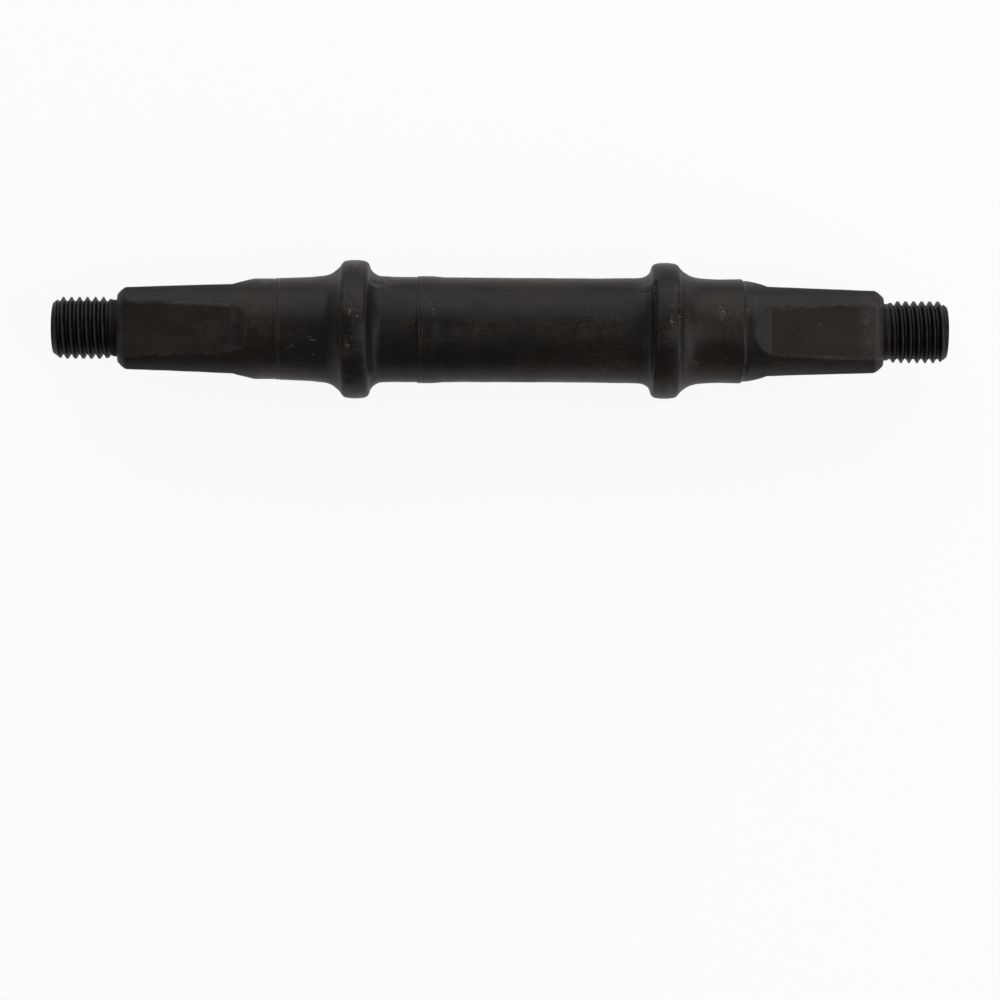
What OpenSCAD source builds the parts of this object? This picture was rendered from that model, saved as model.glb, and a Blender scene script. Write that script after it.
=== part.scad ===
// Bottom bracket axle: a one-piece steel spindle with two bearing races,
// a square taper at each end for the crank arms and a threaded stud beyond each taper.
// The axis lies along X and the origin is on it, midway between the two races.
// Two of the four flats of each square face up and down.

/* [Length] */
// From the origin to the end face of the left square
left_reach = 61; // [58:0.1:66]
// From the origin to the end face of the right square
right_reach = 57.9; // [57:0.1:65]

/* [Bearing races] */
// Distance between the middles of the two race collars
race_spacing = 48.2; // [46:0.1:50]
// Diameter of the left collar
left_race_d = 21.6; // [20.5:0.05:22.5]
// Diameter of the right collar
right_race_d = 21.2; // [20.5:0.05:22.5]
// Width of the straight crown of a collar
crown_w = 2.65; // [2:0.05:3.2]
// Radius of the hollow on the outer side of a collar, where the balls run
race_r = 4.15; // [3.4:0.05:4.6]
// Radius of the hollow on the inner side of a collar
inner_hollow_r = 2.35; // [2:0.05:3]
// Radius of the rounded edges of a collar
rim_r = 0.9; // [0.5:0.05:1.2]

/* [Barrel] */
// Diameter of the barrel where it meets the collars
barrel_end_d = 16.4; // [16:0.05:16.6]
// Diameter of the barrel in its middle
barrel_mid_d = 16.2; // [15.5:0.05:17]
// Length of the straight middle of the barrel
barrel_mid_l = 11; // [4:0.5:16]
// Centre of the straight middle, to the right of the origin
barrel_mid_x = 6.5; // [3:0.5:8]
// Diameter of the raised band on the barrel
band_d = 16.7; // [16.5:0.05:18]
// Width of the raised band
band_w = 2.5; // [1.5:0.1:5]
// Middle of the raised band, to the left of the origin
band_x = 12.95; // [10:0.05:16]
// Width of the sloping edges of the band
band_edge = 0.4; // [0.2:0.05:0.7]

/* [Journals] */
// Diameter of the turned journals where they meet the races
journal_d = 16.3; // [16:0.05:17]
// Diameter of the left journal at its outer end
left_journal_d = 15.85; // [15.8:0.05:16.3]
// Length of the left journal, from the middle of its collar
left_journal_l = 12.2; // [10:0.1:14]
// Length of the right journal, from the middle of its collar
right_journal_l = 11.7; // [10:0.1:12.5]
// Length of the shoulder at the outer end of a journal
shoulder_l = 0.3; // [0.1:0.05:0.6]
// Diameter of the round bar beside the squares
bar_d = 15.7; // [15.4:0.05:15.8]

/* [Square tapers] */
// Width across the flats at the gauge line
across_flats = 12.73; // [12.4:0.01:13.1]
// Distance of the gauge line from the end face of the square
gauge_depth = 1.5; // [1:0.1:3]
// Slope of each flat to the axis, in degrees
flat_slope = 2; // [1.5:0.05:2.5]
// Length of the flats, end chamfer included
flat_l = 18; // [15:0.1:20]
// Diameter over the round corners at the end of the square
corner_d = 15.45; // [15.2:0.05:15.7]
// Slope of the ramps that lead from the flats to the round bar, in degrees
ramp_slope = 15.5; // [14:0.5:30]
// Length of the chamfer round the end of the square
end_chamfer_l = 1.2; // [0.6:0.05:2]
// Depth of the chamfer round the end of the square
end_chamfer_h = 1.1; // [0.5:0.05:1.2]

/* [Threaded studs] */
// Nominal diameter of the thread
thread_d = 10; // [8:0.5:10]
// Pitch of the thread
thread_pitch = 1.25; // [1:0.25:1.5]
// How far the crests stay under the nominal diameter
thread_allowance = 0.1; // [0:0.01:0.2]
// Length of a stud, from the end face of the square
stud_l = 10.2; // [8:0.1:14]
// Length of the plain neck between the square and the thread
neck_l = 1.2; // [0.8:0.1:2]
// Length of the chamfer at the tip of a stud
tip_chamfer_l = 1.3; // [0.5:0.1:2]
// Depth of the chamfer at the tip of a stud
tip_chamfer_h = 1.05; // [0.5:0.05:1.2]

/* [Hidden] */
$fn = 96;

arc_steps = 8;
cut = 0.05;
oxide_black = [0.16, 0.15, 0.15];

bar_r = bar_d / 2;
crest_r = (thread_d - thread_allowance) / 2;
neck_r = thread_d / 2 - 0.3248 * thread_pitch;

function reversed(points) = [for (i = [len(points) - 1 : -1 : 0]) points[i]];

// Angle through which a hollow and a rounded rim turn to climb a height between them.
function climb_angle(height, hollow_r) = acos(1 - height / (hollow_r + rim_r));

// Length of that climb along the axis.
function climb_length(height, hollow_r) = (hollow_r + rim_r) * sin(climb_angle(height, hollow_r));

// The climb from a shaft to the crown of a collar, as [radius, distance from its foot].
function climb(shaft_r, collar_r, hollow_r) =
    let (turn = climb_angle(collar_r - shaft_r, hollow_r))
    let (length = climb_length(collar_r - shaft_r, hollow_r))
    concat(
        [for (i = [0 : arc_steps]) let (a = turn * i / arc_steps)
            [shaft_r + hollow_r * (1 - cos(a)), hollow_r * sin(a)]],
        [for (i = [arc_steps - 1 : -1 : 0]) let (a = turn * i / arc_steps)
            [collar_r - rim_r * (1 - cos(a)), length - rim_r * sin(a)]]
    );

// A climb moved so that its top is at x, with the foot behind it, as [radius, X].
function climb_up(points, x) = [for (p = points) [p[0], x - points[len(points) - 1][1] + p[1]]];

// The same climb taken downwards, from its top at x.
function climb_down(points, x) =
    reversed([for (p = points) [p[0], x + points[len(points) - 1][1] - p[1]]]);

// Outlines of the sections of the turned blank, from left to right, as [radius, X].
function left_collar() =
    let (x = -race_spacing / 2)
    let (top = left_race_d / 2)
    concat(
        climb_up(climb(journal_d / 2, top, race_r), x - crown_w / 2),
        climb_down(climb(barrel_end_d / 2, top, inner_hollow_r), x + crown_w / 2)
    );

function right_collar() =
    let (x = race_spacing / 2)
    let (top = right_race_d / 2)
    concat(
        climb_up(climb(barrel_end_d / 2, top, inner_hollow_r), x - crown_w / 2),
        climb_down(climb(journal_d / 2, top, race_r), x + crown_w / 2)
    );

function barrel() = [
    [barrel_end_d / 2, -band_x - band_w / 2 - band_edge],
    [band_d / 2, -band_x - band_w / 2],
    [band_d / 2, -band_x + band_w / 2],
    [barrel_end_d / 2, -band_x + band_w / 2 + band_edge],
    [barrel_mid_d / 2, barrel_mid_x - barrel_mid_l / 2],
    [barrel_mid_d / 2, barrel_mid_x + barrel_mid_l / 2]
];

// From the shoulder of a journal out to the tip of the stud, with X measured outwards.
function outer_end(reach) = [
    [bar_r, reach - flat_l],
    [corner_d / 2, reach - end_chamfer_l],
    [corner_d / 2 - end_chamfer_h, reach],
    [neck_r, reach],
    [neck_r, reach + neck_l],
    [crest_r, reach + neck_l + crest_r - neck_r],
    [crest_r, reach + stud_l - tip_chamfer_l],
    [crest_r - tip_chamfer_h, reach + stud_l],
    [0, reach + stud_l]
];

function left_journal() =
    let (end = race_spacing / 2 + left_journal_l)
    [[bar_r, -end - shoulder_l], [left_journal_d / 2, -end]];

function right_journal() =
    let (end = race_spacing / 2 + right_journal_l)
    [[journal_d / 2, end], [bar_r, end + shoulder_l]];

// The blank as it leaves the lathe, before the flats. A stud is round at the diameter
// of its crests, with a neck at the pitch diameter, which is what the thread is rolled on.
module turned_blank() {
    left_end = reversed([for (p = outer_end(left_reach)) [p[0], -p[1]]]);
    rotate([0, 90, 0])
        rotate_extrude()
            polygon(concat(left_end, left_journal(), left_collar(), barrel(),
                right_collar(), right_journal(), outer_end(right_reach)));
}

// What is taken off above one flat of the square that ends at reach:
// the end chamfer, the tapered flat and the ramp up to the round bar.
module flat_cutter(reach) {
    function flat_height(x) = across_flats / 2 + (reach - gauge_depth - x) * tan(flat_slope);
    inner_x = reach - flat_l;
    chamfer_x = reach - end_chamfer_l;
    face_height = flat_height(reach) - end_chamfer_h;
    chamfer_slope = (flat_height(chamfer_x) - face_height) / end_chamfer_l;
    ramp_l = (bar_r + cut - flat_height(inner_x)) / tan(ramp_slope);
    clear = 2 * bar_r;
    translate([0, clear, 0])
        rotate([90, 0, 0])
            linear_extrude(2 * clear)
                polygon([
                    [reach + cut, face_height - chamfer_slope * cut],
                    [chamfer_x, flat_height(chamfer_x)],
                    [inner_x, flat_height(inner_x)],
                    [inner_x - ramp_l, bar_r + cut],
                    [inner_x - ramp_l, clear],
                    [reach + cut, clear]
                ]);
}

// The four flats of one square. They are made for the right end.
module square_cutters(reach) {
    for (turn = [0 : 90 : 270])
        rotate([turn, 0, 0])
            flat_cutter(reach);
}

module axle() {
    color(oxide_black)
        difference() {
            turned_blank();
            square_cutters(right_reach);
            rotate([0, 0, 180])
                square_cutters(left_reach);
        }
}

axle();
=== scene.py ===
import math

import bpy
import numpy as np
from mathutils import Matrix, Vector


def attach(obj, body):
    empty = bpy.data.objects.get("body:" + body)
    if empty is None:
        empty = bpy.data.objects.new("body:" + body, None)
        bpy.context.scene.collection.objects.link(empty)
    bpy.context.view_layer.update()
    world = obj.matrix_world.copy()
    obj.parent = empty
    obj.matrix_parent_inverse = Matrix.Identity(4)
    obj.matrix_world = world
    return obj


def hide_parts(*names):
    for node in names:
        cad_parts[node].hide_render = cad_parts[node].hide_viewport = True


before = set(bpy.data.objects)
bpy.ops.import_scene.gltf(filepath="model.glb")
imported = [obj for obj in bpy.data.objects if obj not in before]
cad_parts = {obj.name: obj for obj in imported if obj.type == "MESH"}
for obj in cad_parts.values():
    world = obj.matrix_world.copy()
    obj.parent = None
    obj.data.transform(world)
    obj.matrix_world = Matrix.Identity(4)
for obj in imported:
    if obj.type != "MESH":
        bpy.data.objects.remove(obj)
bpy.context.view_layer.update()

mm = 0.001
print("frame loaded")

# The turned body, in millimetres: x runs along the axis, 0 is midway between the collars.
body = {
    "collarSpacing": 48.2,
    "leftCollarD": 21.6,
    "rightCollarD": 21.2,
    "crownWidth": 2.65,
    "ballHollowR": 4.15,      # outer side of a collar, where the balls run
    "innerHollowR": 2.35,
    "rightInnerHollowR": 1.95,
    "rimR": 0.9,
    "rightCollarShift": 0.08,
    "crownFall": 0.16,        # how much the crowns round off towards their edges
    # softer run-outs of the hollows: x, width, how much they add
    "flares": ((-29.5, 1.1, 0.12), (-19.5, 0.8, 0.07), (20.3, 0.7, 0.05), (29.0, 1.5, 0.09)),
    "barrelEndD": 16.4,
    "barrelMidD": 16.26,
    "barrelMid": (1.0, 12.0),  # where its straight middle begins and ends
    "bandD": 16.7,
    "bandWidth": 2.5,
    "bandX": -12.95,
    "bandEdge": 0.4,
    "bandFade": 1.3,          # the band's right edge slopes off gently
    "journalD": 16.3,
    "leftJournalEndD": 15.85,
    "leftJournalL": 12.2,     # from the middle of its collar
    "rightJournalL": 11.7,
    "rightWaist": (32.6, 16.12),  # x and diameter
    "rightJournalEndD": 16.27,
    "shoulderL": 0.3,
    "barD": 15.7,
    "arcSteps": 13,
    "ringStep": 0.42,
    "fineStep": 0.07,         # across the right shoulder
}
marks = {
    "hairlines": (-35.92, -13.85),
    "hairlineDepth": 0.06,
    "hairlineWidth": 0.09,
    "shoulderWander": 0.22,   # how far the right shoulder strays along the axis
    "shoulderShift": 0.35,
    "forgedWaves": 0.028,
    "squareWaves": 0.012,
    # an angle is counted from the top line towards the viewer's lower side, in degrees
    # x, angle, size, depth
    "dents": (
        (-24.9, 46.0, 0.8, 0.12),
        (-25.4, 15.0, 0.9, 0.05),
        (-27.9, -10.0, 0.7, 0.08),
        (36.2, 41.0, 0.8, 0.12),
        (-40.0, 74.0, 0.6, -0.10),
    ),
    # folds of the forging: x and angle at both ends, width, depth
    "folds": (
        (-22.0, -45.5, -20.7, -48.0, 0.32, -0.16),
        (-20.7, -48.0, -17.2, -46.8, 0.30, -0.10),
        (-21.6, -53.0, -20.0, -57.0, 0.40, 0.14),
        (20.4, -51.0, 22.6, -51.0, 0.40, -0.16),
        (20.4, -46.0, 22.8, -46.0, 0.35, 0.12),
        (36.6, 35.0, 35.9, 48.0, 0.35, 0.14),
        (16.4, 42.0, 18.2, 45.0, 0.3, 0.06),
    ),
    # rubbed patches: x, angle, half length along the axis, half width round it
    "scuffs": (
        (-33.4, 16.0, 3.6, 2.2), (-38.6, -10.0, 2.6, 2.8), (-27.0, -24.0, 1.6, 3.0),
        (-24.1, -26.0, 1.4, 3.4), (-24.6, 14.0, 1.2, 1.6), (-20.6, -64.0, 2.2, 2.0),
        (21.4, -62.0, 1.8, 2.2), (-13.0, -26.0, 2.2, 3.0), (-8.0, -28.0, 1.6, 1.6),
        (-2.0, 4.0, 6.0, 3.0), (12.5, -6.0, 6.0, 3.6), (17.5, 40.0, 1.4, 1.4), (25.0, -24.0, 1.6, 3.6),
        (24.2, 2.0, 0.9, 3.0), (-24.0, 4.0, 1.2, 3.4), (24.4, 55.0, 1.3, 2.4), (34.0, -14.0, 2.2, 3.4),
        (36.0, -6.0, 1.0, 5.0), (30.5, 34.0, 3.0, 1.6), (49.0, 8.0, 4.0, 2.0), (55.4, 2.0, 1.4, 4.4),
        (-44.6, 26.0, 1.2, 1.2), (-3.0, 150.0, 7.0, 4.0), (20.0, 200.0, 4.0, 4.0),
        (-30.0, 170.0, 3.0, 4.0), (34.0, 120.0, 2.0, 3.0), (-52.0, 180.0, 5.0, 3.0),
    ),
    "scuffsOnLeftFlats": 0.08,  # how much of the scuffs shows there
    # painted shade: dark rings on the steep walls of the hollows, on the sides that face up and down: x,
    # half width, strength
    "shadeRingsInHollows": ((-21.42, 0.36, 1.3), (22.5, 0.30, 1.2), (26.68, 0.11, 0.8)),
    # paler and greyer stretches all round: x, half length, strength
    "paleRings": ((21.1, 0.8, 1.0), (-20.5, 0.5, 0.25), (27.5, 0.8, 0.5), (37.5, 0.9, 0.6)),
    "greyRings": ((-31.0, 4.0, 0.5), (-22.0, 3.0, 0.3)),
    # painted shade: black lines in the folds of the forging, where they lie in shade: x and angle at both
    # ends, half width at the first and at the second end
    "creaseShadeLines": (
        (22.85, -44.9, 20.2, -46.6, 0.22, 0.05),
        (-21.9, -49.0, -20.4, -45.5, 0.13, 0.06),
    ),
    # pitted skin, given as the scuffs are
    "pits": (
        (-20.2, -60.0, 2.6, 1.8), (21.2, -62.0, 2.0, 2.2), (27.6, -66.0, 1.4, 1.6),
        (-27.0, -60.0, 1.4, 1.6), (-24.0, -70.0, 1.0, 2.0), (25.0, -68.0, 1.0, 2.0),
        (24.6, 62.0, 1.0, 2.0), (30.0, 160.0, 3.0, 3.0), (55.0, -14.0, 1.0, 1.6),
        (55.6, 12.0, 0.9, 1.6),
    ),
    # clusters of pale nicks, given as the scuffs are
    "nicks": (
        (-30.5, 11.0, 0.8, 0.45), (-33.8, 20.0, 0.7, 0.5), (-30.3, 29.0, 0.4, 0.4),
        (-43.5, 24.0, 0.4, 0.4), (-23.4, -27.0, 0.35, 0.4), (-23.5, -11.0, 0.4, 0.3),
        (-11.7, -20.0, 0.25, 0.9), (14.8, 44.0, 0.8, 0.5), (24.7, -9.0, 0.35, 0.3),
        (25.3, -15.0, 0.35, 0.3), (25.8, -39.0, 0.4, 0.6), (26.02, -14.0, 0.22, 2.4),
        (26.02, 16.0, 0.22, 2.2), (28.7, 36.0, 0.7, 0.5), (32.6, -21.0, 0.6, 1.3),
        (36.3, -24.0, 0.3, 0.5), (47.7, -7.0, 0.4, 0.8), (44.0, 12.0, 0.3, 0.3), (52.0, 26.0, 0.3, 0.3),
        (10.0, 200.0, 2.0, 1.0), (-24.3, -15.0, 0.55, 1.6), (-25.0, 13.0, 0.4, 0.8),
        (24.8, -8.0, 0.4, 0.9),
    ),
    # rusty patches, given as the scuffs are
    "rust": (
        (-38.6, -5.0, 1.7, 2.0), (-27.2, -14.0, 0.9, 1.6), (-26.4, -14.0, 0.8, 2.0),
        (-23.4, -20.0, 0.7, 3.0), (27.6, -20.0, 0.6, 2.4), (33.6, -10.0, 1.6, 1.8),
        (37.2, -18.0, 0.5, 1.6), (23.0, -4.0, 0.7, 2.0), (16.0, -6.0, 2.0, 1.6),
        (-16.2, -8.0, 2.4, 1.8), (-12.8, 16.0, 1.8, 2.4), (50.0, -2.0, 2.4, 1.6),
        (-10.0, 120.0, 3.0, 2.0), (28.0, 160.0, 1.0, 3.0),
    ),
    # real darker patches, given as the scuffs are; their tone also carries painted shade
    "stainsAndShade": (
        (-27.5, -9.0, 1.0, 1.8), (-17.5, 16.0, 3.4, 2.2), (1.0, 13.0, 7.0, 1.8),
        (20.6, -12.0, 1.2, 2.8), (37.0, -8.0, 0.7, 2.4), (36.0, 42.0, 0.8, 1.6),
        (-24.7, 47.0, 0.9, 0.9), (-32.0, 22.0, 2.4, 1.6), (4.0, 190.0, 9.0, 3.0),
        (30.0, 150.0, 3.0, 2.4),
    ),
}
square = {
    "acrossFlats": 12.73,     # at the gauge line
    "gaugeDepth": 1.5,
    "flatSlope": 2.0,
    "flatL": 18.0,
    "cornerD": 15.45,
    "chamferL": 1.6,
    "chamferH": 1.1,
    "chamferCurve": 1.5,      # 1 is a straight chamfer, more is rounder where it starts
    "rampSlope": 15.5,
    "edgeSoftness": 0.03,
    "flatColumns": 17,
    "cornerColumns": 13,
    "leastSpread": 2.5,       # degrees that a flat keeps where it has run out
    "rampRings": 26,
    "flatRings": 22,
}
stud = {
    "pitch": 1.25,
    "crestR": 4.85,
    "rootR": 4.2,
    "neckR": 4.45,
    "neckL": 1.0,
    "length": 10.2,
    "groove": (0.3, 1.7),     # where it begins and where it is full, from the face of the square
    "tipChamferL": 1.2,
    "tipChamferH": 0.9,
    "ringsPerPitch": 18,
    "firstSpread": 33.0,      # as leastSpread, in the first ring beside the face
    "spreadRings": 14,        # how many rings it takes to even out
}
# The two ends. The upper and lower flats run out in a hollow curve, the side flats in a bulged one.
ends = {
    "left": {
        "side": -1,
        "reach": 61.0,            # the face of the square
        "crestX": -69.34,         # where a crest of the thread crosses the top line
        "faceBack": 0.18,         # how far the rim of the face lies further in
        "sideRampBulge": 0.03,
        "faceRamp": (0.1, 2.72, 2.47),  # where it starts, its length, how hollow it is
        "paleBand": 1.4,          # how far the paler skin reaches in from the face
        "edgeSpecks": 0.15,       # how speckled the long edges of the flats are
        "chamferWear": 0.25,
        "coolChamfer": 0.0,       # how grey the chamfer is
        "chamferAsFlat": True,    # whether it has the colour of the flats
        "coolBar": 0.0,           # how grey the round bar beside the square is
        "paleRamp": 1.0,
        "paleLower": 0.1,         # lightens the corners towards the viewer's lower side
        "neckShade": (0.55, 0.6),  # a dark ring round the neck: distance from the face, half width
    },
    "right": {
        "side": 1,
        "reach": 57.9,
        "crestX": 60.78,
        "faceBack": 0.04,
        "sideRampBulge": 0.12,
        "faceRamp": (0.5, 2.6, 1.35),
        "paleBand": 4.2,
        "edgeSpecks": 1.0,
        "chamferWear": 0.7,
        "coolChamfer": 0.55,
        "chamferAsFlat": False,
        "coolBar": 0.6,
        "paleRamp": 0.3,
        "paleLower": 1.0,
        "neckShade": (0.12, 0.32),
    },
}
roundOnly = 99.0              # a flat this far out cuts nothing
# what the mesh tells the material, point by point
toneNames = (
    "flats", "cool", "pale", "edgeWear", "edgeSpecks", "crests", "grooveShade", "hollows",
    "scuffs", "stainsAndShade", "rust", "nicks", "pits", "creaseNear", "creaseAcross", "creaseAlong",
)


def smoothStep(low, high, value):
    t = np.clip((value - low) / (high - low), 0, 1)
    return t * t * (3 - 2 * t)


def smoothMin(a, b, softness):
    h = np.clip(0.5 + 0.5 * (b - a) / softness, 0, 1)
    return b + (a - b) * h - softness * h * (1 - h)


def fadeOut(distance, width, power=2):
    # 1 at no distance and nearly 0 at twice the width; a higher power gives a squarer edge
    return np.exp(-(distance / width) ** power)


def turnFrom(angles, angle):
    # how far round the axis from a given angle, up to half a turn either way
    return np.mod(angles - angle + math.pi, 2 * math.pi) - math.pi


def makeWaves(seed, count, longest, shortest):
    # a smooth random function of x and the angle round the axis
    rng = np.random.default_rng(seed)
    along = rng.uniform(2 * math.pi / longest, 2 * math.pi / shortest, count)
    around = rng.integers(1, 6, count)
    phase = rng.uniform(0, 2 * math.pi, count)

    def waves(x, angle):
        total = 0
        for k in range(count):
            total = total + np.sin(along[k] * x + around[k] * angle + phase[k])
        return total / math.sqrt(count)
    return waves


def climb(shaftR, collarR, hollowR):
    # a hollow and then a rounded rim, as (distance from the foot, radius)
    rimR = body["rimR"]
    turn = math.acos(1 - (collarR - shaftR) / (hollowR + rimR))
    length = (hollowR + rimR) * math.sin(turn)
    angles = np.linspace(0, turn, body["arcSteps"] + 1)
    hollow = [(hollowR * math.sin(a), shaftR + hollowR * (1 - math.cos(a))) for a in angles]
    rim = [(length - rimR * math.sin(a), collarR - rimR * (1 - math.cos(a))) for a in angles[-2::-1]]
    return hollow + rim


def collar(middle, collarR, leftFoot, rightFoot):
    # each foot is (radius of the shaft, radius of the hollow)
    halfCrown = body["crownWidth"] / 2
    rise = climb(leftFoot[0], collarR, leftFoot[1])
    fall = climb(rightFoot[0], collarR, rightFoot[1])
    points = [(middle - halfCrown - rise[-1][0] + x, r) for x, r in rise]
    points += [(middle + halfCrown + fall[-1][0] - x, r) for x, r in reversed(fall)]
    return points


def bodyOutline():
    half = body["collarSpacing"] / 2
    ballFoot = (body["journalD"] / 2, body["ballHollowR"])
    innerFoot = (body["barrelEndD"] / 2, body["innerHollowR"])
    rightInnerFoot = (body["barrelEndD"] / 2, body["rightInnerHollowR"])
    leftEnd = -half - body["leftJournalL"]
    rightEnd = half + body["rightJournalL"]
    points = [(leftEnd - body["shoulderL"], body["barD"] / 2), (leftEnd, body["leftJournalEndD"] / 2)]
    points += collar(-half, body["leftCollarD"] / 2, ballFoot, innerFoot)
    bandFrom = body["bandX"] - body["bandWidth"] / 2
    bandTo = body["bandX"] + body["bandWidth"] / 2
    points += [
        (bandFrom - body["bandEdge"], body["barrelEndD"] / 2),
        (bandFrom, body["bandD"] / 2),
        (bandTo - body["bandEdge"], body["bandD"] / 2),
        (bandTo + body["bandFade"], body["barrelEndD"] / 2),
        (body["barrelMid"][0], body["barrelMidD"] / 2),
        (body["barrelMid"][1], body["barrelMidD"] / 2),
    ]
    rightMiddle = half + body["rightCollarShift"]
    points += collar(rightMiddle, body["rightCollarD"] / 2, rightInnerFoot, ballFoot)
    points += [
        (body["rightWaist"][0], body["rightWaist"][1] / 2),
        (rightEnd - 0.1, body["rightJournalEndD"] / 2),
        (rightEnd + body["shoulderL"], body["barD"] / 2),
    ]
    return points


def bodyRings():
    # evenly spaced, and closer at the hairlines and the shoulders; the same six values as endRings gives
    outline = bodyOutline()
    xs = [p[0] for p in outline]
    rs = [p[1] for p in outline]
    rightEnd = body["collarSpacing"] / 2 + body["rightJournalL"]
    wanted = list(xs)
    wanted += list(np.arange(xs[0] - 1.2, xs[-1] + 1.2, body["ringStep"]))
    for x in marks["hairlines"]:
        wanted += [x + k * marks["hairlineWidth"] / 2 for k in range(-4, 9)]
    wanted += [rightEnd + 0.1 + k * body["fineStep"] for k in range(-7, 8)]
    for x in (xs[0], xs[1]):
        wanted += [x - 0.06, x + 0.06]
    rings = []
    for x in sorted(wanted):
        if not rings or x - rings[-1][0] > 0.025:
            rings.append((x, float(np.interp(x, xs, rs)), roundOnly, roundOnly, 0.0, 0.0))
    return rings


def flatHeight(reach, u):
    slope = math.tan(math.radians(square["flatSlope"]))
    return square["acrossFlats"] / 2 + (reach - square["gaugeDepth"] - u) * slope


def endRings(end):
    # outwards from the round bar: u, round radius, height of the side flats,
    # height of the upper and lower flats, share of the end face, share of thread
    reach = end["reach"]
    barR = body["barD"] / 2
    cornerR = square["cornerD"] / 2
    flatFrom = reach - square["flatL"]
    chamferFrom = reach - square["chamferL"]
    flatStartH = flatHeight(reach, flatFrom)
    rampL = (barR - flatStartH) / math.tan(math.radians(square["rampSlope"]))
    rings = []
    faceStart, faceLength, faceHollow = end["faceRamp"]

    def chamferDrop(u):
        share = max(u - chamferFrom, 0) / square["chamferL"]
        return square["chamferH"] * share ** square["chamferCurve"]

    def roundR(u):
        return float(np.interp(u, [flatFrom, chamferFrom], [barR, cornerR])) - chamferDrop(u)

    def faceHeight(u):
        back = max(flatFrom + faceStart - u, 0) / faceLength
        base = flatHeight(reach, max(u, flatFrom + faceStart))
        return base + (barR + 0.01 - base) * back ** faceHollow if back < 1.15 else barR + 0.2

    for i in range(square["rampRings"] + 1):
        t = i / square["rampRings"]
        u = flatFrom - rampL * (1 - t) ** 1.35
        back = (flatFrom - u) / rampL
        height = flatStartH + (barR - flatStartH) * back + end["sideRampBulge"] * 4 * back * (1 - back)
        rings.append((u, roundR(u), height, faceHeight(u), 0.0, 0.0))
    near = [flatFrom + k for k in (0.06, 0.2, 0.34, 0.44, 0.5, 0.56)]
    for u in near + list(np.linspace(flatFrom + 1.0, chamferFrom - 0.4, square["flatRings"])):
        rings.append((u, roundR(u), flatHeight(reach, u), faceHeight(u), 0.0, 0.0))
    for share in (-0.1, 0.0, 0.06, 0.14, 0.24, 0.36, 0.5, 0.64, 0.78, 0.9, 0.97):
        u = chamferFrom + share * square["chamferL"]
        height = flatHeight(reach, u) - chamferDrop(u)
        rings.append((u - end["faceBack"] * max(share, 0), roundR(u), height, height, 0.0, 0.0))
    faceH = flatHeight(reach, reach) - square["chamferH"]
    for t in (0.04, 0.25, 0.5, 0.75, 0.96):
        rings.append((reach - end["faceBack"], roundR(reach), faceH, faceH, t, 0.0))
    step = stud["pitch"] / stud["ringsPerPitch"]
    for u in np.arange(reach + 0.03, reach + stud["length"] - 0.03, step):
        rings.append((u, stud["crestR"], roundOnly, roundOnly, 0.0, 1.0))
    return rings


def studEnvelope(reach, u):
    tipFrom = reach + stud["length"] - stud["tipChamferL"]
    rise = reach + stud["neckL"]
    tipR = stud["crestR"] - stud["tipChamferH"]
    knots = [reach, rise, rise + 0.35, rise + 1.2, tipFrom, reach + stud["length"]]
    heights = [stud["neckR"], stud["neckR"], stud["neckR"] + 0.12, stud["crestR"], stud["crestR"], tipR]
    return np.interp(u, knots, heights)


def threadRadius(end, x, u, angle):
    turns = (x - end["crestX"]) / stud["pitch"] - angle / (2 * math.pi)
    fromCrest = np.abs(turns - np.round(turns)) * stud["pitch"]
    drop = np.maximum(fromCrest - stud["pitch"] / 16, 0) * math.tan(math.radians(60))
    flank = stud["crestR"] + 0.02 - drop
    fade = smoothStep(end["reach"] + stud["groove"][0], end["reach"] + stud["groove"][1], u)
    root = stud["neckR"] + (stud["rootR"] - stud["neckR"]) * fade
    grooved = -smoothMin(-flank, -root, 0.12)
    # a painted highlight along each crest
    crest = np.clip(1.6 - fromCrest / 0.06, 0, 1) * fade
    return smoothMin(grooved, studEnvelope(end["reach"], u), 0.05), crest


def columnAngles(faceAngle, sideAngle):
    # faceAngle is half the width of the upper and lower flats, sideAngle of the side flats
    parts = []
    for k, (this, after) in enumerate([(faceAngle, sideAngle), (sideAngle, faceAngle)] * 2):
        flatPart = np.linspace(-this, this, square["flatColumns"] + 1)
        cornerPart = np.linspace(this, math.pi / 2 - after, square["cornerColumns"] + 1)[1:-1]
        parts.append(np.concatenate([flatPart, cornerPart]) + k * math.pi / 2)
    return np.concatenate(parts)


def axleRings():
    left = [(-ring[0], *ring[1:]) for ring in reversed(endRings(ends["left"]))]
    right = endRings(ends["right"])
    middle = [ring for ring in bodyRings() if left[-1][0] + 0.2 < ring[0] < right[0][0] - 0.2]
    return left + middle + right


def flatSpread(heights, xs, roundR, onStud):
    # half the angle that the columns of one flat take up in each ring: they gather
    # at the long edges of the flats and spread out evenly elsewhere
    even = math.radians(45) * square["flatColumns"] / (square["flatColumns"] + square["cornerColumns"])
    least = math.radians(square["leastSpread"])
    first = math.radians(stud["firstSpread"])
    cut = heights < roundOnly
    barLeft = xs[cut & (xs < 0)].max()
    barRight = xs[cut & (xs > 0)].min()
    spread = np.full(len(xs), even)
    spread[cut] = np.maximum(np.arccos(np.clip(heights[cut] / roundR[cut], 0, 1)), least)
    for index in np.where(~cut & ~onStud)[0]:
        share = min(max(min(xs[index] - barLeft, barRight - xs[index]) / 3, 0), 1)
        spread[index] = (1 - share) * least + share * even
    for side in (-1, 1):
        outer = np.where(onStud & (np.sign(xs) == side))[0]
        for k, index in enumerate(outer[np.argsort(np.abs(xs[outer]))]):
            share = min(k / stud["spreadRings"], 1)
            spread[index] = (1 - share) * first + share * even
    return spread


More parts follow.
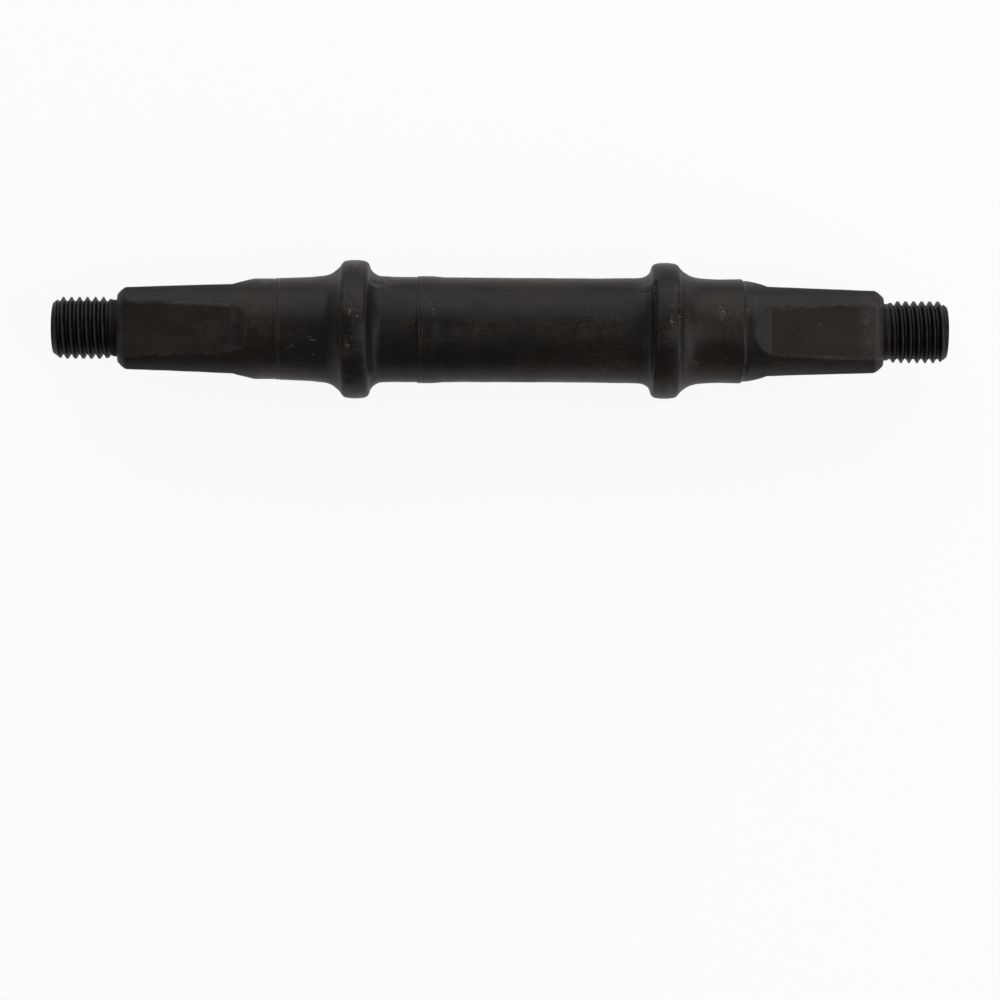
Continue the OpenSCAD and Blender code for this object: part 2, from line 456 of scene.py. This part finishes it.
def axleGrid():
    # one row a ring and one column a line along the axis
    rings = axleRings()
    xs, roundR, sideH, faceH, faceShare, thread = (np.array([ring[k] for ring in rings]) for k in range(6))
    onStud = thread > 0
    faceSpread = flatSpread(faceH, xs, roundR, onStud)
    sideSpread = flatSpread(sideH, xs, roundR, onStud)
    angles = np.array([columnAngles(face, side) for face, side in zip(faceSpread, sideSpread)])
    columns = angles.shape[1]
    onFace = np.floor((angles + math.pi / 4) / (math.pi / 2)).astype(int) % 2 == 0
    height = np.where(onFace, faceH[:, None], sideH[:, None])
    flatR = height / np.cos(np.mod(angles + math.pi / 4, math.pi / 2) - math.pi / 4)
    blankR = np.repeat(roundR[:, None], columns, axis=1)
    return {
        "x": np.repeat(xs[:, None], columns, axis=1),
        "angles": angles,
        "roundR": blankR,
        "flatR": flatR,
        "above": blankR - flatR,       # how far the round blank stands above the flat
        "cut": height < roundOnly,
        "onFace": onFace,              # the quarters of the upper and lower flats
        "faceShare": faceShare[:, None],
        "onStud": onStud[:, None],
    }


def shapeEnd(end, grid, radius, tones):
    # the thread and the end face, and where a square is worn, grey or pale
    u = np.abs(grid["x"])
    mine = np.sign(grid["x"]) == end["side"]
    cut = grid["cut"]
    offStud = ~grid["onStud"]
    flatFrom = end["reach"] - square["flatL"]
    chamferFrom = end["reach"] - square["chamferL"]

    threaded = mine & grid["onStud"]
    threadR, crests = threadRadius(end, grid["x"], u, grid["angles"])
    radius = np.where(threaded, threadR, radius)
    # painted shade in the thread roots
    grooveShade = 1 - smoothStep(stud["crestR"] - 0.3, stud["crestR"] - 0.05, threadR)
    tones["grooveShade"] = np.where(threaded, grooveShade, tones["grooveShade"])
    tones["crests"] = np.where(threaded, crests, tones["crests"])
    endFace = mine & (grid["faceShare"] > 0)
    radius = np.where(endFace, radius + (stud["neckR"] - radius) * grid["faceShare"], radius)

    flats, cool, pale, wear = (tones[name] for name in ("flats", "cool", "pale", "edgeWear"))
    ramp = mine & (u < np.where(grid["onFace"], flatFrom + end["faceRamp"][0], flatFrom) + 0.02)
    wear = np.where(ramp, 0.25 * wear, wear)
    cool = np.where(ramp, flats, cool)
    chamfer = mine & (u > chamferFrom - 0.02) & offStud
    cool = np.where(chamfer, end["coolChamfer"], cool)
    flats = np.where(ramp | (chamfer & (not end["chamferAsFlat"])), 0, flats)
    strip = mine & (u > flatFrom) & cut & ~ramp & ~chamfer
    cool = np.where(strip, np.maximum(cool, 0.6 * (1 - flats)), cool)
    onBar = smoothStep(flatFrom - 5.6, flatFrom - 4.6, u) * (u < flatFrom) * mine
    cool = np.maximum(cool, end["coolBar"] * onBar)
    pale = np.maximum(pale, end["paleRamp"] * (ramp & cut) * cool)
    lowerSide = smoothStep(0.3, 0.9, np.sin(grid["angles"]))
    lowerSide = lowerSide * (1 - smoothStep(0.2, 0.9, -np.cos(grid["angles"])))
    pale = np.maximum(pale, end["paleLower"] * strip * (1 - flats) * lowerSide)
    for edgeU in (end["reach"] - 0.8 * square["chamferL"], end["reach"]):
        wear = np.maximum(wear, end["chamferWear"] * (fadeOut(u - edgeU, 0.09) * offStud * mine))
    paleFrom = end["reach"] - end["paleBand"]
    paleBand = smoothStep(paleFrom, paleFrom + 0.8, u) * offStud * mine
    pale = np.maximum(pale, paleBand * (0.3 + 0.7 * flats))
    alongEdge = fadeOut(grid["above"] + 0.03, 0.05) * cut * mine
    specks = np.maximum(tones["edgeSpecks"], end["edgeSpecks"] * alongEdge * (u > flatFrom))
    tip = end["reach"] + stud["length"]
    wear = np.maximum(wear, fadeOut(u - tip + 0.1, 0.4) * mine)
    tones.update(flats=flats, cool=cool, pale=pale, edgeWear=wear, edgeSpecks=specks)

    # painted shade: a dark ring round the root of the neck beside the face, put into the tone of the stains
    shadeAt, shadeWidth = end["neckShade"]
    neckShadeShare = 1.5 * fadeOut(u - end["reach"] - shadeAt, shadeWidth, 4) * mine
    tones["stainsAndShade"] = np.maximum(tones["stainsAndShade"], np.where(grid["onStud"], neckShadeShare, 0))
    return radius


def addForging(grid, radius, tones):
    # waves, turned hairlines, dents and folds
    x = grid["x"]
    angles = grid["angles"]
    forged = makeWaves(11, 9, 30, 4)
    fine = makeWaves(23, 12, 6, 1.2)
    onBarrel = smoothStep(-23, -20, x) * (1 - smoothStep(20, 23, x))
    onSquare = ~grid["onStud"] & (np.abs(x) > 40)
    amount = marks["forgedWaves"] * (0.25 + 0.75 * onBarrel) + marks["squareWaves"] * onSquare
    waves = 0.75 * forged(x, angles) + 0.22 * fine(x, angles)
    radius = radius + np.where(grid["onStud"], 0.15, 1) * amount * waves
    for hairX in marks["hairlines"]:
        radius = radius - marks["hairlineDepth"] * fadeOut(x - hairX, marks["hairlineWidth"])
        radius = radius + 0.5 * marks["hairlineDepth"] * fadeOut(x - hairX - 0.22, marks["hairlineWidth"])
        tones["edgeWear"] = np.maximum(tones["edgeWear"], 0.75 * fadeOut(x - hairX - 0.2, 0.09))
    for dentX, dentAngle, size, depth in marks["dents"]:
        around = turnFrom(angles, math.radians(dentAngle))
        away = ((x - dentX) ** 2 + (around * radius) ** 2) / (size / 2) ** 2
        radius = radius - depth * np.exp(-away)
    for fromX, fromAngle, toX, toAngle, width, depth in marks["folds"]:
        around = turnFrom(angles, math.radians(0.5 * (fromAngle + toAngle))) * radius
        lineX = toX - fromX
        lineY = math.radians(toAngle - fromAngle) * 8.5
        share = ((x - 0.5 * (fromX + toX)) * lineX + around * lineY) / (lineX ** 2 + lineY ** 2)
        share = np.clip(share, -0.5, 0.5)
        away = np.hypot(x - 0.5 * (fromX + toX) - share * lineX, around - share * lineY)
        radius = radius - depth * np.exp(-(away / width) ** 2) * (1 - 1.6 * share ** 2)
    return radius


def addPatches(x, angles, radius, tones):
    for name in ("scuffs", "stainsAndShade", "rust", "nicks", "pits"):
        for atX, atAngle, length, width in marks[name]:
            around = turnFrom(angles, math.radians(atAngle)) * radius
            patch = np.exp(-((x - atX) / length) ** 2 - (around / width) ** 2)
            tones[name] = np.maximum(tones[name], patch)
    hidden = (1 - marks["scuffsOnLeftFlats"]) * tones["flats"]
    tones["scuffs"] = np.where(x < 0, tones["scuffs"] * (1 - hidden), tones["scuffs"])


def addCreaseShade(x, angles, radius, tones):
    # the painted shade of a crease is kept as distances across and along it, so that it stays finer than
    # the mesh
    tones["creaseAcross"] = np.ones_like(x)
    for fromX, fromAngle, toX, toAngle, fromWidth, toWidth in marks["creaseShadeLines"]:
        share = (x - fromX) / (toX - fromX)
        lineAngle = math.radians(fromAngle) + (math.radians(toAngle) - math.radians(fromAngle)) * share
        around = turnFrom(angles, lineAngle) * radius
        width = fromWidth + (toWidth - fromWidth) * np.clip(share, 0, 1)
        near = (np.abs(around) < 1.6) & (np.abs(share - 0.5) < 1.2)
        tones["creaseNear"] = np.where(near, 1.0, tones["creaseNear"])
        tones["creaseAcross"] = np.where(near, around / width, tones["creaseAcross"])
        tones["creaseAlong"] = np.where(near, share, tones["creaseAlong"])


def addRings(x, angles, radius, tones):
    # the softer run-outs and rounded crowns of the collars, every stretch coloured all round, and painted
    # shade on the steep walls of the hollows
    for flareX, width, amount in body["flares"]:
        radius = radius + amount * fadeOut(x - flareX, width)
    half = body["collarSpacing"] / 2
    crown = body["crownWidth"] / 2
    for middle in (-half, half):
        away = np.abs(x - middle)
        hollow = smoothStep(1.1, 1.6, away) * (1 - smoothStep(4.0, 6.0, away))
        tones["hollows"] = np.maximum(tones["hollows"], hollow)
        radius = radius - body["crownFall"] * smoothStep(0.3, 2.0, away) * (1 - smoothStep(2.0, 3.2, away))
        for edgeX in (middle - crown, middle + crown):
            tones["edgeWear"] = np.maximum(tones["edgeWear"], 0.3 * fadeOut(x - edgeX, 0.2))
    for ringX, width, amount in marks["paleRings"]:
        tones["pale"] = np.maximum(tones["pale"], amount * fadeOut(x - ringX, width, 4))
    for ringX, width, amount in marks["greyRings"]:
        tones["cool"] = np.maximum(tones["cool"], amount * fadeOut(x - ringX, width))
    # painted shade on the steep walls of the hollows, on the sides that face up and down
    shadedSides = smoothStep(0.62, 0.74, np.abs(np.cos(angles)))
    for ringX, width, amount in marks["shadeRingsInHollows"]:
        tones["stainsAndShade"] = np.maximum(tones["stainsAndShade"], amount * shadedSides * fadeOut(x - ringX, width, 6))
    return radius


def axleSurface():
    grid = axleGrid()
    x = grid["x"]
    angles = grid["angles"]
    tones = {name: np.zeros_like(x) for name in toneNames}
    cut = grid["cut"]
    radius = np.where(cut, smoothMin(grid["roundR"], grid["flatR"], square["edgeSoftness"]), grid["roundR"])
    tones["flats"] = np.where(cut, smoothStep(-0.02, 0.06, grid["above"]), 0)
    tones["edgeWear"] = np.where(cut, fadeOut(grid["above"], 0.045), 0)
    for end in ends.values():
        radius = shapeEnd(end, grid, radius, tones)
    radius = addForging(grid, radius, tones)
    addPatches(x, angles, radius, tones)
    addCreaseShade(x, angles, radius, tones)

    # the right shoulder does not run quite straight round the bar
    shoulderX = body["collarSpacing"] / 2 + body["rightJournalL"]
    wander = marks["shoulderWander"] * makeWaves(31, 5, 900, 800)(x * 0, angles)
    x = x + (wander + marks["shoulderShift"]) * fadeOut(x - shoulderX, 1.1)

    radius = addRings(x, angles, radius, tones)
    tones["edgeWear"] = np.clip(tones["edgeWear"], 0, 1)
    return x, radius, angles, tones


def buildAxle(material):
    x, radius, angles, tones = axleSurface()
    rings, columns = x.shape
    points = np.stack([x, -radius * np.sin(angles), radius * np.cos(angles)], axis=2).reshape(-1, 3) * mm
    verts = [tuple(p) for p in points]
    faces = []
    for i in range(rings - 1):
        for j in range(columns):
            k = (j + 1) % columns
            faces.append((i * columns + j, i * columns + k, (i + 1) * columns + k, (i + 1) * columns + j))
    # the two tip faces, closed in rings towards a centre point
    for side, ring in ((-1, 0), (1, rings - 1)):
        edge = [ring * columns + j for j in range(columns)]
        tipX = x[ring].mean() * mm
        for share, push in ((0.96, 0.03), (0.7, 0.03), (0.35, 0.0), (0.08, -0.12)):
            start = len(verts)
            for j in range(columns):
                p = points[ring * columns + j]
                verts.append((tipX + side * push * mm, p[1] * share, p[2] * share))
            for j in range(columns):
                k = (j + 1) % columns
                quad = (edge[j], edge[k], start + k, start + j)
                faces.append(quad if side > 0 else quad[::-1])
            edge = [start + j for j in range(columns)]
        verts.append((tipX - side * 0.2 * mm, 0, 0))
        for j in range(columns):
            triangle = (edge[j], edge[(j + 1) % columns], len(verts) - 1)
            faces.append(triangle if side > 0 else triangle[::-1])
    data = bpy.data.meshes.new("axleSkin")
    data.from_pydata(verts, [], faces)
    for name, values in tones.items():
        layer = data.attributes.new(name, "FLOAT", "POINT")
        flat = np.zeros(len(verts), dtype=np.float32)
        flat[:rings * columns] = values.reshape(-1)
        layer.data.foreach_set("value", flat)
    data.shade_smooth()
    data.materials.append(material)
    data.validate()
    piece = bpy.data.objects.new("axleSkin", data)
    bpy.context.collection.objects.link(piece)
    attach(piece, "root")
    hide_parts("axle")
    print("axle mesh:", len(verts), "points,", len(faces), "faces")
    return piece


# Black oxide steel: its colours, with painted shade in the thread roots, creases, hollows and necks and a
# painted highlight on the thread crests, and how glossy and how rough it is.
oxide = {
    "black": (0.0034, 0.0027, 0.0023),
    "brown": (0.0120, 0.0068, 0.0050),
    "blue": (0.0055, 0.0058, 0.0064),
    "flat": (0.0140, 0.0089, 0.0070),
    "flatDark": (0.0095, 0.0059, 0.0046),
    "cool": (0.0070, 0.0065, 0.0065),
    "dust": (0.034, 0.025, 0.018),
    "pale": (0.0190, 0.0180, 0.0178),
    "worn": (0.055, 0.049, 0.044),
    "speck": (0.052, 0.043, 0.035),
    "rust": (0.024, 0.0140, 0.0088),
    "nick": (0.078, 0.068, 0.055),
    # dark for the stains and the pits, and as painted shade in the hollows and round the necks
    "darkStainAndShade": (0.0016, 0.0014, 0.0012),
    # painted shade for the thread roots
    "groove": (0.0014, 0.0012, 0.0011),
    # painted shade in the creases
    "creaseShade": (0.0, 0.0, 0.0),
    # painted highlight along the thread crests
    "crest": (0.037, 0.0335, 0.0315),
    "specular": 0.16,
    "roughness": (0.27, 0.44),
    "flatRoughness": 0.12,    # what the flats, the hollows and the dullest places add
    "hollowRoughness": 0.03,
    "dullRoughness": 0.45,
    "turningBump": (0.2, 0.02 * mm),  # strength and height
    "grainBump": (0.3, 0.03 * mm),
    "pitDepth": 3.0,
    "speckHeight": -0.8,
}


def oxideMaterial():
    material = bpy.data.materials.new("blackOxideSteel")
    material.use_nodes = True
    tree = material.node_tree
    nodes = tree.nodes
    shader = nodes["Principled BSDF"]
    link = tree.links.new

    def noise(scale, detail, stretch=(1, 1, 1), roughness=0.55):
        mapping = nodes.new("ShaderNodeMapping")
        mapping.inputs["Scale"].default_value = stretch
        link(coordinates.outputs["Object"], mapping.inputs["Vector"])
        texture = nodes.new("ShaderNodeTexNoise")
        texture.inputs["Scale"].default_value = scale
        texture.inputs["Detail"].default_value = detail
        texture.inputs["Roughness"].default_value = roughness
        link(mapping.outputs["Vector"], texture.inputs["Vector"])
        return texture.outputs["Fac"]

    def between(value, low, high, toLow=0.0, toHigh=1.0):
        # maps low..high of a texture onto toLow..toHigh, clamped
        node = nodes.new("ShaderNodeMapRange")
        node.inputs["From Min"].default_value = low
        node.inputs["From Max"].default_value = high
        node.inputs["To Min"].default_value = toLow
        node.inputs["To Max"].default_value = toHigh
        link(value, node.inputs["Value"])
        return node.outputs["Result"]

    def combine(operation, a, b):
        node = nodes.new("ShaderNodeMath")
        node.operation = operation
        for slot, value in enumerate((a, b)):
            if isinstance(value, (int, float)):
                node.inputs[slot].default_value = value
            else:
                link(value, node.inputs[slot])
        return node.outputs["Value"]

    def times(a, b):
        return combine("MULTIPLY", a, b)

    def plus(a, b):
        return combine("ADD", a, b)

    def blend(share, a, b):
        node = nodes.new("ShaderNodeMix")
        node.data_type = "RGBA"
        for name, value in (("A", a), ("B", b)):
            socket = [s for s in node.inputs if s.name == name and s.type == "RGBA"][0]
            if isinstance(value, tuple):
                socket.default_value = (*value, 1)
            else:
                link(value, socket)
        link(share, node.inputs["Factor"])
        return [s for s in node.outputs if s.type == "RGBA"][0]

    def tone(name):
        node = nodes.new("ShaderNodeAttribute")
        node.attribute_name = name
        return node.outputs["Fac"]

    def bump(height, amount, below=None):
        node = nodes.new("ShaderNodeBump")
        node.inputs["Strength"].default_value = amount[0]
        node.inputs["Distance"].default_value = amount[1]
        link(height, node.inputs["Height"])
        if below:
            link(below, node.inputs["Normal"])
        return node.outputs["Normal"]

    coordinates = nodes.new("ShaderNodeTexCoord")
    drift = noise(34, 3, (1, 1, 1), 0.5)
    blotches = noise(95, 6, (0.6, 1, 1))
    clouds = noise(380, 5, (0.5, 1, 1), 0.62)
    grain = noise(2400, 4, (1, 1, 1), 0.65)
    turning = noise(900, 4, (9, 0.35, 0.35), 0.7)
    drawn = noise(800, 5, (0.13, 2.2, 2.2), 0.65)
    scratches = noise(640, 3, (0.4, 6, 6), 0.6)
    crossScratches = noise(760, 2, (5, 0.8, 1.4), 0.6)
    specks = noise(3000, 3, (0.8, 1, 1), 0.5)
    bigSpecks = noise(1700, 3, (0.7, 1.2, 1.2), 0.5)
    pitShape = noise(1500, 3, (0.8, 1, 1), 0.6)
    nickShape = noise(2600, 2, (0.8, 1.2, 1.2), 0.5)

    # the skin itself: black and brown in drifts, with a bluish bloom, and browner flats
    uneven = plus(times(blotches, 0.55), times(drift, 0.45))
    colour = blend(between(uneven, 0.42, 0.58), oxide["black"], oxide["brown"])
    colour = blend(between(clouds, 0.48, 0.7, 0, 0.75), colour, oxide["blue"])
    flatMottle = blend(between(clouds, 0.36, 0.66), oxide["flatDark"], oxide["flat"])
    colour = blend(tone("flats"), colour, flatMottle)
    colour = blend(tone("cool"), colour, oxide["cool"])
    paleShare = times(tone("pale"), between(clouds, 0.36, 0.6, 0.1, 1))
    colour = blend(paleShare, colour, oxide["pale"])

    # dust in streaks along the axis, then as a haze on the scuffs
    dusty = times(between(drawn, 0.52, 0.75), between(blotches, 0.35, 0.65, 0.1, 0.5))
    dusty = times(dusty, between(tone("flats"), 0, 1, 1, 0.35))
    colour = blend(dusty, colour, oxide["dust"])
    rubbed = plus(times(tone("scuffs"), 0.9), between(blotches, 0.5, 0.7, 0.05, 0.5))
    hazeGrain = times(between(grain, 0.42, 0.66), between(clouds, 0.4, 0.6, 0.3, 1))
    colour = blend(times(hazeGrain, times(rubbed, 0.75)), colour, oxide["dust"])

    # rust, stains, the painted shade in the hollows and round the necks, and worn edges
    rustShare = times(tone("rust"), between(grain, 0.4, 0.62, 0.05, 0.5))
    colour = blend(rustShare, colour, oxide["rust"])
    # the stains, together with the painted shade of the hollows and the necks
    stainAndShadeShare = times(tone("stainsAndShade"), between(clouds, 0.34, 0.56, 0.25, 0.9))
    colour = blend(stainAndShadeShare, colour, oxide["darkStainAndShade"])
    wearShare = times(tone("edgeWear"), between(clouds, 0.42, 0.66, 0, 0.8))
    colour = blend(wearShare, colour, oxide["worn"])

    # specks, pits, nicks and scratches
    rubbed = combine("MINIMUM", rubbed, 1.0)
    speckShare = times(between(specks, 0.65, 0.74), rubbed)
    colour = blend(speckShare, colour, oxide["speck"])
    bigShare = times(between(bigSpecks, 0.67, 0.75, 0, 0.8), tone("scuffs"))
    colour = blend(bigShare, colour, oxide["speck"])
    porous = times(between(pitShape, 0.42, 0.56, 0, 0.42), tone("pits"))
    colour = blend(porous, colour, oxide["worn"])
    pitShare = times(between(pitShape, 0.40, 0.34), tone("pits"))
    colour = blend(pitShare, colour, oxide["darkStainAndShade"])
    nickShare = times(between(nickShape, 0.55, 0.63), between(tone("nicks"), 0.25, 0.7))
    colour = blend(nickShare, colour, oxide["nick"])
    lineShare = times(tone("edgeSpecks"), between(specks, 0.5, 0.62, 0.05, 1))
    colour = blend(lineShare, colour, oxide["speck"])
    scratchShare = times(between(scratches, 0.70, 0.78, 0, 0.7), rubbed)
    crossShare = times(between(crossScratches, 0.72, 0.80, 0, 0.6), rubbed)
    colour = blend(combine("MAXIMUM", scratchShare, crossShare), colour, oxide["worn"])

    # painted shade: near black in the thread grooves and in the creases, and a painted highlight along the
    # thread crests
    colour = blend(times(tone("grooveShade"), 0.92), colour, oxide["groove"])
    across = combine("ABSOLUTE", tone("creaseAcross"), 0.0)
    along = combine("ABSOLUTE", combine("SUBTRACT", tone("creaseAlong"), 0.5), 0.0)
    # painted shade along the creases
    creaseShadeShare = times(between(across, 0.7, 1.2, 1, 0), between(along, 0.44, 0.52, 1, 0))
    creaseShadeShare = times(creaseShadeShare, between(tone("creaseNear"), 0.9, 1.0))
    colour = blend(creaseShadeShare, colour, oxide["creaseShade"])
    # painted highlight on the crests
    crestHighlightShare = times(tone("crests"), between(grain, 0.4, 0.6, 0.1, 0.6))
    colour = blend(crestHighlightShare, colour, oxide["crest"])
    link(colour, shader.inputs["Base Color"])

    low, high = oxide["roughness"]
    uneven = plus(times(clouds, 0.6), times(grain, 0.4))
    roughness = between(uneven, 0.35, 0.65, low, high)
    roughness = plus(roughness, times(tone("flats"), oxide["flatRoughness"]))
    roughness = plus(roughness, times(tone("hollows"), oxide["hollowRoughness"]))
    dull = combine("MAXIMUM", creaseShadeShare, times(tone("grooveShade"), 0.15))
    dull = combine("MAXIMUM", dull, times(tone("stainsAndShade"), 0.5))
    roughness = plus(roughness, times(dull, oxide["dullRoughness"]))
    link(roughness, shader.inputs["Roughness"])
    shader.inputs["Specular IOR Level"].default_value = oxide["specular"]
    shader.inputs["Metallic"].default_value = 0.0

    turned = times(plus(turning, drawn), between(tone("flats"), 0, 1, 1, 0.3))
    fineGrain = plus(grain, times(speckShare, oxide["speckHeight"]))
    fineGrain = plus(fineGrain, times(times(pitShape, tone("pits")), oxide["pitDepth"]))
    normal = bump(turned, oxide["turningBump"])
    normal = bump(fineGrain, oxide["grainBump"], normal)
    link(normal, shader.inputs["Normal"])
    print("oxide material ready")
    return material


buildAxle(oxideMaterial())
print("axle built")

studio = {
    "floor": (0.86, 0.86, 0.86),
    "floorGlow": 0.9,         # share of the floor that stays white to the eye
    "floorGlowInGloss": 0.3,
    "floorHalf": 1.2,
    "world": 0.24,
    # place, aim, width, height, watts
    "lamps": {
        "upperSoftbox": ((0.0, 1.25, 0.45), (0, 0, 0), 2.0, 1.0, 12.2),
        "lowerSoftbox": ((0.8, -1.2, 0.12), (0, 0, 0), 1.0, 0.5, 0.8),
        "highSoftbox": ((0.0, 0.9, 1.15), (0, 0, 0), 1.8, 0.6, 4.5),
        "overheadSoftbox": ((0.62, -0.05, 1.2), (0, 0, 0), 0.8, 0.9, 4.8),
        "rightSoftbox": ((1.25, -0.35, 0.55), (0, 0, 0), 1.3, 0.8, 7.0),
        "leftSoftbox": ((-1.3, 0.0, 0.35), (0, 0, 0), 1.2, 0.6, 1.3),
    },
}


def buildFloor():
    # a pale card that stays white to the eye and still keeps the object's shadow
    z = -body["leftCollarD"] / 2 * mm
    half = studio["floorHalf"]
    corners = [(-half, -half, z), (half, -half, z), (half, half, z), (-half, half, z)]
    data = bpy.data.meshes.new("floor")
    data.from_pydata(corners, [], [(0, 1, 2, 3)])
    floor = bpy.data.objects.new("floor", data)
    bpy.context.collection.objects.link(floor)

    material = bpy.data.materials.new("whiteCard")
    material.use_nodes = True
    nodes = material.node_tree.nodes
    link = material.node_tree.links.new
    card = nodes["Principled BSDF"]
    card.inputs["Base Color"].default_value = (*studio["floor"], 1)
    card.inputs["Roughness"].default_value = 0.9
    card.inputs["Specular IOR Level"].default_value = 0.0
    white = nodes.new("ShaderNodeEmission")
    white.inputs["Strength"].default_value = 1.0
    rays = nodes.new("ShaderNodeLightPath")
    glow = nodes.new("ShaderNodeMath")
    glow.operation = "ADD"
    shares = (("Is Camera Ray", studio["floorGlow"]), ("Is Glossy Ray", studio["floorGlowInGloss"]))
    for slot, (ray, amount) in enumerate(shares):
        share = nodes.new("ShaderNodeMath")
        share.operation = "MULTIPLY"
        share.inputs[1].default_value = amount
        link(rays.outputs[ray], share.inputs[0])
        link(share.outputs["Value"], glow.inputs[slot])
    mix = nodes.new("ShaderNodeMixShader")
    link(glow.outputs["Value"], mix.inputs["Fac"])
    link(card.outputs["BSDF"], mix.inputs[1])
    link(white.outputs["Emission"], mix.inputs[2])
    link(mix.outputs["Shader"], nodes["Material Output"].inputs["Surface"])
    data.materials.append(material)
    print("floor ready")


def buildAir():
    # white to the eye, and a weak light from all round
    world = bpy.data.worlds.new("studioAir")
    world.use_nodes = True
    nodes = world.node_tree.nodes
    link = world.node_tree.links.new
    air = nodes["Background"]
    air.inputs["Color"].default_value = (1, 1, 1, 1)
    rays = nodes.new("ShaderNodeLightPath")
    strength = nodes.new("ShaderNodeMapRange")
    strength.inputs["To Min"].default_value = studio["world"]
    strength.inputs["To Max"].default_value = 1.0
    link(rays.outputs["Is Camera Ray"], strength.inputs["Value"])
    link(strength.outputs["Result"], air.inputs["Strength"])
    bpy.context.scene.world = world


def hangLamps():
    for name, (place, aim, width, height, watts) in studio["lamps"].items():
        lamp = bpy.data.lights.new(name, "AREA")
        lamp.shape = "RECTANGLE"
        lamp.size = width
        lamp.size_y = height
        lamp.energy = watts
        holder = bpy.data.objects.new(name, lamp)
        holder.location = place
        holder.rotation_euler = (Vector(aim) - Vector(place)).to_track_quat("-Z", "Y").to_euler()
        bpy.context.collection.objects.link(holder)
    print("air and", len(studio["lamps"]), "lamps ready")


lens = {
    "focal": 126.0,
    "sensor": 36.0,
    "place": (-1.39 * mm, 0.0, 547 * mm),
    "tilt": 2.78,             # degrees, towards the viewer's lower side
    "roll": 0.31,
}


def placeCamera():
    data = bpy.data.cameras.new("camera")
    data.sensor_width = lens["sensor"]
    data.lens = lens["focal"]
    data.clip_start = 0.01
    camera = bpy.data.objects.new("camera", data)
    tilt = Matrix.Rotation(math.radians(-lens["tilt"]), 4, "X")
    roll = Matrix.Rotation(math.radians(lens["roll"]), 4, "Z")
    camera.matrix_world = Matrix.Translation(lens["place"]) @ tilt @ roll
    bpy.context.collection.objects.link(camera)
    bpy.context.scene.camera = camera


buildFloor()
buildAir()
hangLamps()
placeCamera()
bpy.context.scene.view_settings.view_transform = "Standard"
